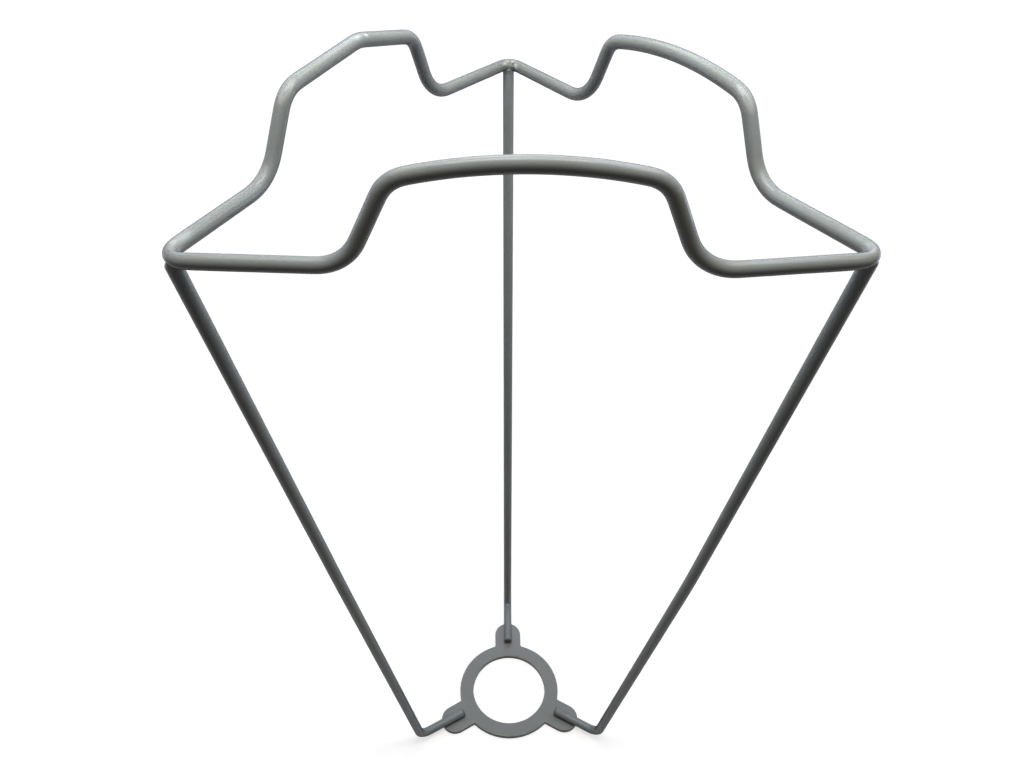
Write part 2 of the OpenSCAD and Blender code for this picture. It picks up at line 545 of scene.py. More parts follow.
    @staticmethod
    def end(ring: Array, centre: Array, outwards: Array, edge: float,
            count: int = 9, flat_count: int = 3, flat_share: float = 0.98) -> Array:
        """Rings that close an end, over a quarter of a circle and then flat to the middle.

        Args:
            ring: The wire's last ring.
            centre: Its middle.
            outwards: Unit vector out of the end.
            edge: Radius of the rounded edge.
            count: Rings over the edge.
            flat_count: Rings over the flat.
            flat_share: How far over the flat they go.

        Returns:
            The rings, from the wire to the middle.
        """
        radius = np.linalg.norm(ring - centre, axis=1).mean()
        swing = np.linspace(0.0, math.pi / 2, count + 1)[1:]
        inset = np.concatenate([edge * (1 - np.cos(swing)),
                                np.linspace(edge, radius * flat_share, flat_count + 1)[1:]])
        lift = np.concatenate([edge * np.sin(swing), np.full(flat_count, edge)])
        share = 1 - inset / radius
        return (centre + (ring - centre)[None] * share[:, None, None] + outwards * lift[:, None, None])


# Sub-assemblies


@dataclass(frozen=True)
class Bridge:
    """Sizes of the hand-bent bridge on one side of the top wire.

    The pairs are for its first and last slope, going left round. The fives are for its
    corners: low, crest, middle of the crest, crest and low.
    """

    arms: Pair
    lifts: Pair
    runs: Pair
    rises: Pair
    outs: tuple[float, float, float, float, float]
    radii: tuple[float, float, float, float, float]
    peak: float
    shift: float


@dataclass
class TopWire:
    """The closed three-sided wire that carries the shade."""

    diameter: float = 3.2
    height: float = 222.9
    side_length: float = 132.8
    corner_radius: float = 2.7
    ease: float = 0.8
    seed: int = 11
    slips: dict[Corner, Triple] = field(default_factory=lambda: {
        Corner.BACK: (0.3, 0.0, -0.4), Corner.LEFT: (0.65, 0.1, 0.55),
        Corner.RIGHT: (0.1, -0.2, -0.1)})
    left: Bridge = Bridge((39.5, 31.4), (1.5, 2.8), (8.0, 8.6), (16.5, 16.1),
                          (1.2, 0.3, 0.9, -0.2, 0.4), (12.2, 6.2, 10.0, 6.9, 10.6), 3.4, -3.0)
    front: Bridge = Bridge((34.5, 33.9), (-0.8, -2.3), (8.7, 7.9), (16.6, 17.6),
                           (0.1, 0.2, 1.0, 0.1, 0.4), (8.7, 6.7, 95.0, 6.9, 10.1), 5.08, -0.5)
    right: Bridge = Bridge((32.5, 39.4), (0.6, 0.1), (8.0, 8.2), (16.2, 16.7),
                           (0.2, 0.4, 0.7, -0.1, 0.2), (10.2, 6.8, 96.0, 5.8, 12.9), 4.6, 0.3)

    def corner(self, corner: Corner, slipped: bool = True) -> Array:
        """Place of a corner, as it was bent or as it was meant."""
        slip = np.array(self.slips[corner]) if slipped else np.zeros(3)
        return corner.out * (self.side_length / math.sqrt(3)) + UP * self.height + slip

    def bridge(self, start: Corner, end: Corner, sizes: Bridge) -> Array:
        """A bridge, set out from the side between two true corners.

        Args:
            start: The corner that it starts from, going left round.
            end: The corner that it ends towards.
            sizes: Its sizes.

        Returns:
            Its five corners, 5 x 3.
        """
        first, last = self.corner(start, False), self.corner(end, False)
        way, out = unit(last - first), unit(start.out + end.out)
        low = [first + way * sizes.arms[0] + UP * sizes.lifts[0],
               last - way * sizes.arms[1] + UP * sizes.lifts[1]]
        crest = [low[0] + way * sizes.runs[0] + UP * sizes.rises[0],
                 low[1] - way * sizes.runs[1] + UP * sizes.rises[1]]
        middle = (crest[0] + crest[1]) / 2 + UP * sizes.peak + way * sizes.shift
        corners = np.array([low[0], crest[0], middle, crest[1], low[1]])
        return corners + np.array(sizes.outs)[:, None] * out

    def line(self) -> Array:
        """The closed centre line.

        Returns:
            Its points, left round from the back corner and back to it.
        """
        order = (Corner.BACK, Corner.LEFT, Corner.RIGHT, Corner.BACK)
        corners, radii = [], []
        for start, end, sizes in zip(order, order[1:], (self.left, self.front, self.right)):
            corners += [self.corner(start)[None], self.bridge(start, end, sizes)]
            radii += [self.corner_radius, *sizes.radii]
        return bent_line(np.concatenate(corners), np.array(radii), True)

    def spots(self, line: Array) -> tuple[Spot, ...]:
        """What welding and bending left on the wire.

        Blobs at the back corner, painted pale as highlights, and a dent and a pit there,
        painted darker; a flattened patch and a bump at the left corner, painted pale as
        highlights, and two chips; two bumps at the right corner, painted pale as highlights;
        the upset of the butt weld on the left crest, with two bumps painted pale as
        highlights; the thinner outer side of the two front corners; and the patches that the
        bending tool pressed into four bends, painted a little paler as highlights.

        Args:
            line: The centre line.

        Returns:
            The spots.
        """
        along = lengths_along(line)

        def nearest(place: Array) -> float:
            """Distance along the line of its point nearest to a place."""
            return float(along[np.argmin(np.linalg.norm(line - place, axis=1))])

        back, left, right = (nearest(self.corner(corner)) for corner in Corner)
        join, left_crest, left_low = map(nearest, self.bridge(Corner.BACK, Corner.LEFT, self.left)[2:])
        right_low, right_crest = map(nearest, self.bridge(Corner.RIGHT, Corner.BACK, self.right)[:2])
        return (
            # Back corner: raised blobs painted pale as highlights, a dent and a pit painted darker.
            Spot(back + 3.2, 151.0, 0.80, 0.50, 0.20, -0.90),
            Spot(back + 1.3, 130.0, 0.80, 0.30, 0.14, -0.75),
            Spot(back - 0.1, 142.0, 0.35, 0.36, -0.08, 0.35),
            Spot(back - 1.5, 130.0, 0.90, 0.30, 0.14, -0.80),
            Spot(back - 2.1, 147.0, 0.44, 0.28, -0.20, 1.00),
            Spot(back - 4.2, 165.0, 0.90, 0.50, 0.18, -0.80),
            Spot(back - 3.6, 143.0, 0.60, 0.30, 0.10, -0.50),
            # Left corner: a flattened patch and a bump painted pale as highlights, then two chips.
            Spot(left - 5.0, 120.0, 1.70, 0.80, -0.08, -0.30),
            Spot(left - 2.5, 112.0, 1.10, 0.55, 0.05, -0.40),
            Spot(left + 0.5, 82.0, 0.28, 0.20, -0.06, 0.80),
            Spot(left - 1.2, 150.0, 0.40, 0.26, -0.05, 0.70),
            # Right corner: two bumps painted pale as highlights.
            Spot(right - 0.6, 92.0, 1.50, 0.45, 0.07, -0.25),
            Spot(right + 2.2, 128.0, 0.90, 0.40, 0.06, -0.25),
            # Butt weld: a groove, and two bumps painted pale as highlights.
            Spot(join + 0.1, 137.0, 0.34, 1.60, -0.05),
            Spot(join + 1.3, 134.0, 1.10, 0.55, 0.07, -0.40),
            Spot(join - 1.4, 137.0, 0.48, 0.42, 0.10, -0.85),
            Spot(left, 0.0, 3.2, 2.8, -0.30, 0.0),
            Spot(right, 0.0, 3.2, 2.8, -0.34, 0.0),
            # Bend patches, painted a little paler as highlights.
            Spot(left_crest, 112.0, 2.60, 0.95, -0.15, -0.08, 3.0),
            Spot(left_low - 0.6, 95.0, 2.60, 1.00, -0.15, -0.08, 3.0),
            Spot(right_crest, 112.0, 2.80, 0.95, -0.15, -0.08, 3.0),
            Spot(right_low + 0.6, 95.0, 2.80, 1.00, -0.15, -0.08, 3.0),
        )

    def build(self, material: Material) -> None:
        """Makes the wire's piece.

        Args:
            material: Its finish.
        """
        line = self.line()
        wire = Wire(self.diameter, line, True, spots=self.spots(line), seed=self.seed, ease=self.ease)
        make_piece("coated_top_wire", wire.surface(), material, Slot.WIRE, "top_wire")


@dataclass
class FitterRing:
    """The stamped ring with three lugs, its edges softened by the coating."""

    hole: float = 28.9
    band: float = 5.33
    sheet: float = 1.8
    lug_width: float = 10.7
    lug_length: float = 10.25
    root_radius: float = 0.5
    top_edge: float = 0.24
    under_edge: float = 0.1
    hole_edge: float = 0.15
    painted_edge_highlight: float = 0.5
    painted_wall_shade: float = 0.8
    step: float = 0.3
    fillet_points: int = 13
    arc_points: int = 65
    edge_points: int = 7
    flat_shares: tuple[float, ...] = (0.04, 0.12, 0.3, 0.5, 0.7, 0.88, 0.96)

    @property
    def band_radius(self) -> float:
        """Outer radius of the flat band."""
        return self.hole / 2 + self.band

    def lug_outline(self) -> Array:
        """Outline of one lug along +X.

        The root's fillet touches the band from outside and the lug's straight edge, so
        its centre is root radius beyond both.

        Returns:
            Its points, against the clock from root to root.
        """
        half, fillet = self.lug_width / 2, self.root_radius
        tip = np.array([self.band_radius + self.lug_length - half, 0.0, 0.0])
        far = self.band_radius + fillet
        root = np.array([math.sqrt(far ** 2 - (half + fillet) ** 2), half + fillet, 0.0])
        lean = math.degrees(math.atan2(root[1], root[0]))
        lower = arc(root * [1, -1, 1], fillet, 180 - lean, 90, self.fillet_points)
        nose = arc(tip, half, -90, 90, self.arc_points)
        upper = arc(root, fillet, 270, 180 + lean, self.fillet_points)
        return np.concatenate([lower, nose, upper])

    def outline(self) -> Array:
        """Outline of the whole ring.

        Returns:
            Evenly spaced points, against the clock.
        """
        lug = self.lug_outline()
        pieces = []
        lean = math.degrees(math.atan2(lug[-1, 1], lug[-1, 0]))
        for corner in Corner:
            pieces.append(lug[:, :1] * corner.out + lug[:, 1:2] * corner.side)
            pieces.append(arc(np.zeros(3), self.band_radius, corner.value + lean,
                              corner.value + CORNER_STEP - lean, self.arc_points)[1:-1])
        line = np.concatenate(pieces)
        line = np.concatenate([line, line[:1]])
        count = int(lengths_along(line)[-1] / self.step)
        even = np.linspace(0.0, lengths_along(line)[-1], count, endpoint=False)
        return at_lengths(line, even)

    def section(self) -> Array:
        """The ring's cross-section.

        It runs up the outer side, over the top, down the hole and back under the ring.
        Each edge is a quarter of a circle.

        Returns:
            Rows of the share of the way to the hole, the inset from the outer edge, the
            inset from the hole's edge and the height.
        """
        swing = np.linspace(0.0, math.pi / 2, self.edge_points)
        growing, dying = 1 - np.cos(swing), 1 - np.sin(swing)
        top, under, inner, sheet = self.top_edge, self.under_edge, self.hole_edge, self.sheet
        zero, one = np.zeros_like(swing), np.ones_like(swing)
        shares = np.array(self.flat_shares)
        full = np.ones_like(shares)
        blocks = [
            [zero, under * dying, zero, under * growing],
            [zero, top * growing, zero, sheet - top * dying],
            [shares, top * full, inner * full, sheet * full],
            [one, zero, inner * dying, sheet - inner * growing],
            [one, zero, inner * growing, inner * dying],
            [shares[::-1], under * full, inner * full, 0 * full],
        ]
        return np.concatenate([np.stack(block) for block in blocks], axis=1).T

    def build(self, material: Material) -> None:
        """Makes the ring's piece.

        A point is the outer point moved inwards by its inset, or the point at the same
        angle on the hole moved outwards by its own, or a mix of the two by its share. The
        rounded upper edges are painted paler, a painted highlight, and the sheared walls
        are painted darker, a painted shade.

        Args:
            material: Its finish.
        """
        outer = self.outline()
        ahead = unit(np.roll(outer, -1, axis=0) - np.roll(outer, 1, axis=0))
        inwards = np.cross(UP, ahead)
        ray = unit(outer)
        share, outer_in, hole_in, height = self.section().T[:, :, None, None]
        on_outer = outer + inwards * outer_in
        on_hole = ray * (self.hole / 2 + hole_in)
        rows = on_outer * (1 - share) + on_hole * share + UP * height
        # Painted highlight on the rounded upper edges, painted shade on the sheared walls.
        on_edge = (height > self.sheet - self.top_edge) & (height < self.sheet)
        on_wall = ((share == 0.0) | (share == 1.0)) & (height <= self.sheet - self.top_edge)
        grime_and_painted_light = self.painted_wall_shade * on_wall - self.painted_edge_highlight * on_edge
        grime_and_painted_light = np.broadcast_to(grime_and_painted_light[..., 0], rows.shape[:2])
        make_piece("coated_fitter_ring", shell(rows, True, grime_and_painted_light), material, Slot.RING,
                   "fitter_ring")


@dataclass
class Leg:
    """One leg: a foot on its lug, a bend, and a straight up to a corner.

    In places on its surface, 270 degrees is the foot's top and the bend's inner side.
    """

    corner: Corner
    foot_gap: float
    heel_out: float
    heel_slip: float
    bend_radius: float
    head_out: float
    head_slip: float
    bow: float = 0.0
    diameter: float = 3.2
    sink: float = 0.15
    head_drop: float = 0.4
    bow_length: float = 110.0
    bow_radius: float = 700.0
    cut_edge: float = 0.5
    top_edge: float = 1.1
    cut_end_darkening: float = 0.6
    cut_reach: float = 0.1
    crease: float = 0.0
    crease_back: float = 0.9
    crease_size: float = 0.7
    crease_painted_highlight: float = 7.0
    all_round: float = 20.0
    points_per_mm: int = 4
    seed: int = 21

    @property
    def name(self) -> str:
        """Name of the CAD node that the leg stands for."""
        return f"leg_{self.corner.name.lower()}"

    def line(self, ring: FitterRing, top: TopWire) -> Array:
        """Centre line of the leg.

        Args:
            ring: The fitter ring that the foot lies on.
            top: The top wire that the leg carries.

        Returns:
            Its points, from the cut end of the foot to the end under the top wire.
        """
        foot_height = ring.sheet + self.diameter / 2 - self.sink
        start = ring.band_radius + self.foot_gap
        out, side = self.corner.out, self.corner.side
        corners = [out * start + UP * foot_height,
                   out * self.heel_out + side * self.heel_slip + UP * foot_height,
                   out * self.head_out + side * self.head_slip + UP * (top.height - self.head_drop)]
        radii = [0.0, self.bend_radius, 0.0]
        rise = unit(corners[2] - corners[1])
        if self.bow:
            bulge = unit(out - rise * (out @ rise))
            corners.insert(2, corners[1] + rise * self.bow_length + bulge * self.bow)
            radii.insert(2, self.bow_radius)
        return bent_line(np.array(corners), np.array(radii), False)

    def build(self, ring: FitterRing, top: TopWire, material: Material) -> None:
        """Makes the leg's piece, which ends inside the wire that it carries.

        The foot's sheared end is painted darker, and the bending tool may have left a
        small crease on the inner side of the bend, painted pale as a highlight.

        Args:
            ring: The fitter ring that the foot lies on.
            top: The top wire that the leg carries.
            material: Its finish.
        """
        line = self.line(ring, top)
        cut = lengths_along(line)[-1] - self.top_edge
        count = self.points_per_mm * int(cut)
        line = at_lengths(line, np.linspace(self.cut_edge, cut, count))
        bend = self.heel_out - ring.band_radius - self.foot_gap
        # The cut end is painted darker, and the crease is painted pale as a highlight.
        spots = (Spot(0.0, 270.0, self.cut_reach, self.all_round, 0.0, self.cut_end_darkening),
                 Spot(bend - self.crease_back, 270.0, self.crease_size, self.crease_size,
                      self.crease, -self.crease_painted_highlight * self.crease))
        wire = Wire(self.diameter, line, False, side=self.corner.side, spots=spots, seed=self.seed)
        make_piece(f"coated_{self.name}", wire.surface(self.cut_edge, self.top_edge),
                   material, Slot.WIRE, self.name)


@dataclass
class FootWelds:
    """The beads along both sides of each foot, where it lies on its lug."""

    bead: float = 0.34
    climb: float = 0.42
    back: float = 1.2
    under: float = 0.12
    step: float = 0.12
    swelling: float = 0.3
    size_range: Pair = (0.35, 1.6)
    fade: float = 1.1
    thinnest: float = 0.02
    # Painted shade in the crease along the lug, and how high it reaches.
    grime_and_painted_light: float = 0.5
    painted_shade_height: float = 0.25
    curve_points: int = 9
    first_seed: int = 40

    def bead_surface(self, corner: Corner, hand: float, ring: FitterRing, leg: Leg,
                     seed: int) -> Surface:
        """One bead.

        Its section runs from the lug to the wire on a hollow curve, a quadratic curve
        whose middle point is where the wire meets the lug, and closes inside them. It
        swells and narrows along the foot, dies away at both ends and stays below the
        wire's middle. It is painted darker towards the lug, a painted shade in the crease.

        Args:
            corner: The corner whose foot it is on.
            hand: 1 or -1 for the side of the foot.
            ring: The fitter ring.
            leg: Any leg.
            seed: Picks the swelling.

        Returns:
            The bead's surface.
        """
        radius = leg.diameter / 2
        start = ring.band_radius + leg.foot_gap + leg.cut_edge
        length = ring.lug_length - leg.foot_gap - self.back - leg.cut_edge
        along = np.arange(0.0, length, self.step)
        wave = waves(along, np.zeros(1), length, seed, fewest=2, limit=7, count=5)[:, 0]
        ends = np.clip(np.minimum(along, length - along) / self.fade, 0.0, 1.0)
        swelling = np.clip(1 + self.swelling * wave, *self.size_range)
        size = swelling * np.sqrt(ends) + self.thinnest
        meet = math.sqrt(radius ** 2 - (radius - leg.sink) ** 2)
        middle = ring.sheet + radius - leg.sink
        t = np.linspace(0.0, 1.0, self.curve_points)[None, :]
        foot = meet + self.bead * size[:, None]
        rise = np.clip(self.climb * size[:, None], 0.0, radius)
        lean = np.sqrt(radius ** 2 - (radius - leg.sink - rise) ** 2)
        y = (1 - t) ** 2 * foot + 2 * t * (1 - t) * meet + t ** 2 * lean
        z = ring.sheet + t ** 2 * rise
        inside, below = (np.full_like(foot, place - self.under) for place in (meet, ring.sheet))
        y = np.concatenate([y, inside, inside, foot], axis=1)
        z = np.concatenate([z, ring.sheet + rise, below, below], axis=1)
        z = np.minimum(z, middle)
        rows = ((start + along)[:, None, None] * corner.out
                + hand * y[..., None] * corner.side + z[..., None] * UP)
        if hand > 0:
            rows = rows[:, ::-1]
        # Painted shade, darkest where the bead meets the lug.
        grime_and_painted_light = np.exp(-((z - ring.sheet) / self.painted_shade_height) ** 2) * self.grime_and_painted_light
        return shell(rows, False, grime_and_painted_light if hand < 0 else grime_and_painted_light[:, ::-1])

    def build(self, ring: FitterRing, leg: Leg, material: Material) -> None:
        """Makes the six beads as one piece.

        Args:
            ring: The fitter ring.
            leg: Any leg.
            material: Their finish.
        """
        parts = [self.bead_surface(corner, hand, ring, leg,
                                   self.first_seed + 2 * index + int(hand > 0))
                 for index, corner in enumerate(Corner) for hand in (1.0, -1.0)]
        make_piece("coated_foot_beads", joined(parts), material, Slot.WELD, "lug_welds")


@dataclass
class CornerWeld:
    """The weld metal under one corner, a low uneven cone around the top of the leg."""

    leg: Leg
    reach: float
    depth: float = 1.5
    overrun: float = 1.25
    sink: float = 0.03
    unevenness: float = 0.3
    wave_depths: float = 4.0
    ring_count: int = 17
    segments: int = 40
    first_seed: int = 70

    def build(self, ring: FitterRing, top: TopWire, material: Material) -> None:
        """Makes the weld's piece.

        Rings around the leg's centre line, which run on into the top wire. Their radius
        grows from just inside the leg's surface to reach beyond it with the square of the
        height, as a hollow fillet does, and it waves a little. It is fullest on the inner
        side, at an angle of minus a quarter turn, and dies away to nothing on the outer
        one.

        Args:
            ring: The fitter ring.
            top: The top wire.
            material: Its finish.
        """
        line = self.leg.line(ring, top)
        total = lengths_along(line)[-1]
        share = np.linspace(0.0, 1.0, self.ring_count)
        base = total - top.diameter / 2 - self.depth
        stations = base + share * self.depth * self.overrun
        centre = at_lengths(line, stations)
        along = unit(np.gradient(centre, axis=0))
        side = np.broadcast_to(self.leg.corner.side, along.shape)
        front = np.cross(side, along)
        angle = np.linspace(0.0, FULL_TURN, self.segments, endpoint=False)
        wave = waves(stations, angle, self.depth * self.wave_depths,
                     self.first_seed + self.leg.seed, fewest=1, limit=4, count=6)
        inner = (0.5 - 0.5 * np.sin(angle))[None, :]
        grown = self.reach * share[:, None] ** 2 * inner * (1 + self.unevenness * wave)
        rows = rings(centre, self.leg.diameter / 2 - self.sink + grown, side, front, angle)
        name = f"corner_weld_{self.leg.corner.name.lower()}"
        make_piece(f"coated_{name}", shell(rows, False), material, Slot.WELD, name)


# Finishes


def linear(colour: str) -> tuple[float, float, float, float]:
    """An sRGB hex colour as linear red, green, blue and an alpha of one."""
    shares = [int(colour[i:i + 2], 16) / 255 for i in (1, 3, 5)]
    return (*(c / 12.92 if c <= 0.04045 else ((c + 0.055) / 1.055) ** 2.4 for c in shares), 1.0)


def add_node(tree: Tree, kind: str, inputs: dict[str | int, object] | None = None,
             **settings: object) -> bpy.types.Node:
    """Adds a node with its settings and links.

    Args:
        tree: The tree that gets the node.
        kind: The node's type without its first word, ShaderNode.
        inputs: Values or output sockets by the input's name or number.
        settings: Properties by name, which are set before the inputs.

    Returns:
        The node.
    """
    node = tree.nodes.new(f"ShaderNode{kind}")
    for name, value in settings.items():
        setattr(node, name, value)
    for name, value in (inputs or {}).items():
        if isinstance(value, Socket):
            tree.links.new(value, node.inputs[name])
        else:
            node.inputs[name].default_value = value
    return node


def calculated(tree: Tree, operation: str, *values: Socket | float, clamped: bool = False) -> Socket:
    """Result of a calculation on values, and held between 0 and 1 if clamped."""
    return add_node(tree, "Math", dict(enumerate(values)), operation=operation,
                    use_clamp=clamped).outputs["Value"]


def mixed(tree: Tree, share: Socket, first: object, second: object) -> Socket:
    """Mix of two colours, where share is how much of the second there is."""
    return add_node(tree, "Mix", {"Factor": share, "A": first, "B": second},
                    data_type="RGBA").outputs["Result"]


def ranged(tree: Tree, value: Socket, source: Pair, target: Pair, kind: str = "LINEAR") -> Socket:
    """Value moved from the source range to the target range, and held inside that."""
    return add_node(tree, "MapRange", {
        "Value": value, "From Min": source[0], "From Max": source[1], "To Min": target[0],
        "To Max": target[1]}, interpolation_type=kind).outputs["Result"]


def noise(tree: Tree, place: Socket, size_mm: float, **inputs: float) -> Socket:
    """Cloudy pattern, its scale worked out from the size of its blobs in millimetres."""
    return add_node(tree, "TexNoise", {
        "Vector": place, "Scale": 1 / (size_mm * MM), **inputs},
        noise_dimensions="3D").outputs["Fac"]


def new_material(name: str) -> tuple[Material, Tree]:
    """A material without nodes.

    Args:
        name: Name of the material.

    Returns:
        The material and its tree.
    """
    material = bpy.data.materials.new(name)
    material.use_nodes = True
    material.node_tree.nodes.clear()
    return material, material.node_tree


@dataclass(frozen=True)
class PowderCoat:
    """Satin polyester powder coat, sprayed and baked.

    It melts into a closed plastic skin, so the eye gets a soft sheen with a thin bright
    line where a lamp mirrors in it, a faint orange peel, slight drifts of tone where the
    layer is thinner, and now and then a speck of dust baked into it. Seen at a low angle
    it is painted darker and bluer, a painted reflection of a dim room in place of the lamps.
    """

    name: str
    colour: str
    thin_colour: str
    # Colours for grime and painted shade, for painted highlights, and for the painted grazing
    # reflection.
    grime_and_shade_colour: str = "#5c4a44"
    painted_highlight_colour: str = "#e2e5df"
    painted_reflection_colour: str = "#50546e"
    painted_reflection_share: float = 0.8
    painted_reflection_facing: Pair = (0.5, 0.95)
    roughness: float = 0.36
    sheen_range: float = 0.06
    specular: float = 0.16
    clear: float = 0.24
    clear_roughness: float = 0.12
    peel_mm: float = 0.9
    peel_depth_mm: float = 0.004
    drift_mm: float = 14.0
    drift_noise: Pair = (0.38, 0.66)
    grain_mm: float = 0.35
    grain_tones: Pair = (0.955, 1.04)
    middle_noise: Pair = (0.3, 0.7)
    speck_mm: float = 5.0
    speck_share: float = 0.03
    speck_edge: float = 1.4
    speck_depth: float = 0.3

    def tint(self, tree: Tree, place: Socket, drift: Socket) -> Socket:
        """Colour of the skin: its tones and grain, then its painted highlights, then its grime and
        painted shade.

        Args:
            tree: The material's tree.
            place: Where a point is on the object.
            drift: The slow drifts of tone.

        Returns:
            The colour's socket.
        """
        grain = noise(tree, place, self.grain_mm, Detail=2.0)
        tone = mixed(tree, ranged(tree, drift, self.drift_noise, (0.0, 1.0)),
                     linear(self.colour), linear(self.thin_colour))
        grain = ranged(tree, grain, self.middle_noise, self.grain_tones)
        grained = add_node(tree, "VectorMath", {"Vector": tone, "Scale": grain},
                           operation="SCALE")
        cells = add_node(tree, "TexVoronoi", {
            "Vector": place, "Scale": 1 / (self.speck_mm * MM)}, feature="F1")
        speck_range = (self.speck_share * self.speck_edge, self.speck_share)
        speck = ranged(tree, cells.outputs["Distance"], speck_range, (0.0, self.speck_depth))
        # The attribute paints grime or shade where positive and pale highlights where negative; specks
        # are dust.
        grime_and_painted_light = add_node(tree, "Attribute", attribute_name="grime_and_painted_light").outputs["Fac"]
        painted_shade_and_grime = calculated(tree, "MAXIMUM", grime_and_painted_light, speck)
        pale = calculated(tree, "MULTIPLY", grime_and_painted_light, -1.0, clamped=True)
        with_painted_highlight = mixed(tree, pale, grained.outputs["Vector"], linear(self.painted_highlight_colour))
        return mixed(tree, painted_shade_and_grime, with_painted_highlight, linear(self.grime_and_shade_colour))

    def build(self) -> Material:
        """Makes the material, with each pattern's scale from its size in millimetres.

        Returns:
            The material.
        """
        material, tree = new_material(self.name)
        place = add_node(tree, "TexCoord").outputs["Object"]
        drift = noise(tree, place, self.drift_mm, Detail=3.0, Roughness=0.6)
        rough_range = (self.roughness - self.sheen_range, self.roughness + self.sheen_range)
        rough = ranged(tree, drift, self.middle_noise, rough_range)
        bump = add_node(tree, "Bump", {
            "Height": noise(tree, place, self.peel_mm, Detail=1.0), "Strength": 1.0,
            "Distance": self.peel_depth_mm * MM})
        skin = add_node(tree, "BsdfPrincipled", {
            "Base Color": self.tint(tree, place, drift), "Roughness": rough,
            "Specular IOR Level": self.specular, "Coat Weight": self.clear,
            "Coat Roughness": self.clear_roughness,
            "Normal": bump.outputs["Normal"], "Coat Normal": bump.outputs["Normal"]})
        # Painted reflection: at low angles a dark bluish matt colour takes over from the coat.
        facing = add_node(tree, "LayerWeight", {"Blend": 0.5})
        grazing = ranged(tree, facing.outputs["Facing"], self.painted_reflection_facing,
                         (0.0, self.painted_reflection_share), "SMOOTHSTEP")
        painted_dim_reflection = add_node(tree, "BsdfDiffuse", {"Color": linear(self.painted_reflection_colour)})
        surface = add_node(tree, "MixShader", {
            0: grazing, 1: skin.outputs["BSDF"], 2: painted_dim_reflection.outputs["BSDF"]})
        add_node(tree, "OutputMaterial", {"Surface": surface.outputs["Shader"]})
        return material


# Studio


@dataclass(frozen=True)
class Lamp:
    """A soft rectangular lamp that points at a place on the carrier."""

    name: str
    place: Triple
    aim: Triple
    size: Pair
    power: float
    colour: str

    def build(self) -> None:
        """Makes the lamp. Its places and sizes are in metres and its power in watts."""
        data = bpy.data.lights.new(self.name, "AREA")
        data.shape = "RECTANGLE"
        data.size, data.size_y = self.size
        data.energy = self.power
        data.color = linear(self.colour)[:3]
        place = np.array(self.place)
        back = unit(place - np.array(self.aim))
        right = unit(np.cross(UP if abs(back[2]) < NEARLY_UPRIGHT else AHEAD, back))
        lamp = placed(self.name, data, [right, np.cross(back, right), back], place)
        lamp.visible_camera = False


